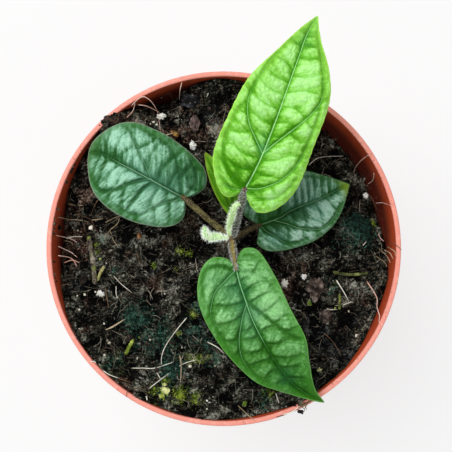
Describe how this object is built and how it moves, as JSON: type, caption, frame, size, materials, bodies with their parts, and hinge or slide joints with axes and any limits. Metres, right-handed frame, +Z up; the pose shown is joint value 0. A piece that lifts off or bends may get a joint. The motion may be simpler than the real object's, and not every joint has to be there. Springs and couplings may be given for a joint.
{
  "type": "potted piper plant",
  "caption": "Young piper plant with quilted heart-shaped leaves on hairy stalks, rooted in dark peat in a round terracotta-coloured nursery pot.",
  "frame": {"origin": "on the pot's axis, on the surface that the pot stands on", "axes": "+Z up along the pot's axis; the long bright top leaf points to +Y and the low dark leaf to +X"},
  "size_m": [0.12, 0.1322, 0.1268],
  "materials": {
    "pot_plastic": "satin",
    "soil": "matte",
    "stem": "matte",
    "leaf_dark": "satin",
    "leaf_green": "satin",
    "leaf_young": "satin",
    "leaf_olive": "satin",
    "shoot": "matte",
    "perlite": "matte",
    "bark": "matte",
    "twig": "matte",
    "moss": "matte"
  },
  "bodies": {
    "root": {"pot": "pot_plastic", "soil": "soil", "stem": "stem", "petiole_left": "stem", "petiole_top": "stem", "petiole_front": "stem", "petiole_right": "stem", "petiole_small": "stem", "leaf_left": "leaf_dark", "leaf_right": "leaf_dark", "leaf_front": "leaf_green", "leaf_top": "leaf_young", "leaf_small": "leaf_olive", "shoot_tip": "shoot", "side_bud": "shoot", "perlite_1": "perlite", "perlite_2": "perlite", "perlite_3": "perlite", "perlite_4": "perlite", "perlite_5": "perlite", "perlite_6": "perlite", "perlite_7": "perlite", "perlite_8": "perlite", "perlite_9": "perlite", "bark_chip_1": "bark", "bark_chip_2": "bark", "bark_chip_3": "bark", "bark_chip_4": "bark", "twig_1": "twig", "moss_cushion_1": "moss", "twig_2": "twig", "moss_cushion_2": "moss", "twig_3": "twig", "moss_cushion_3": "moss"}
  },
  "joints": []
}
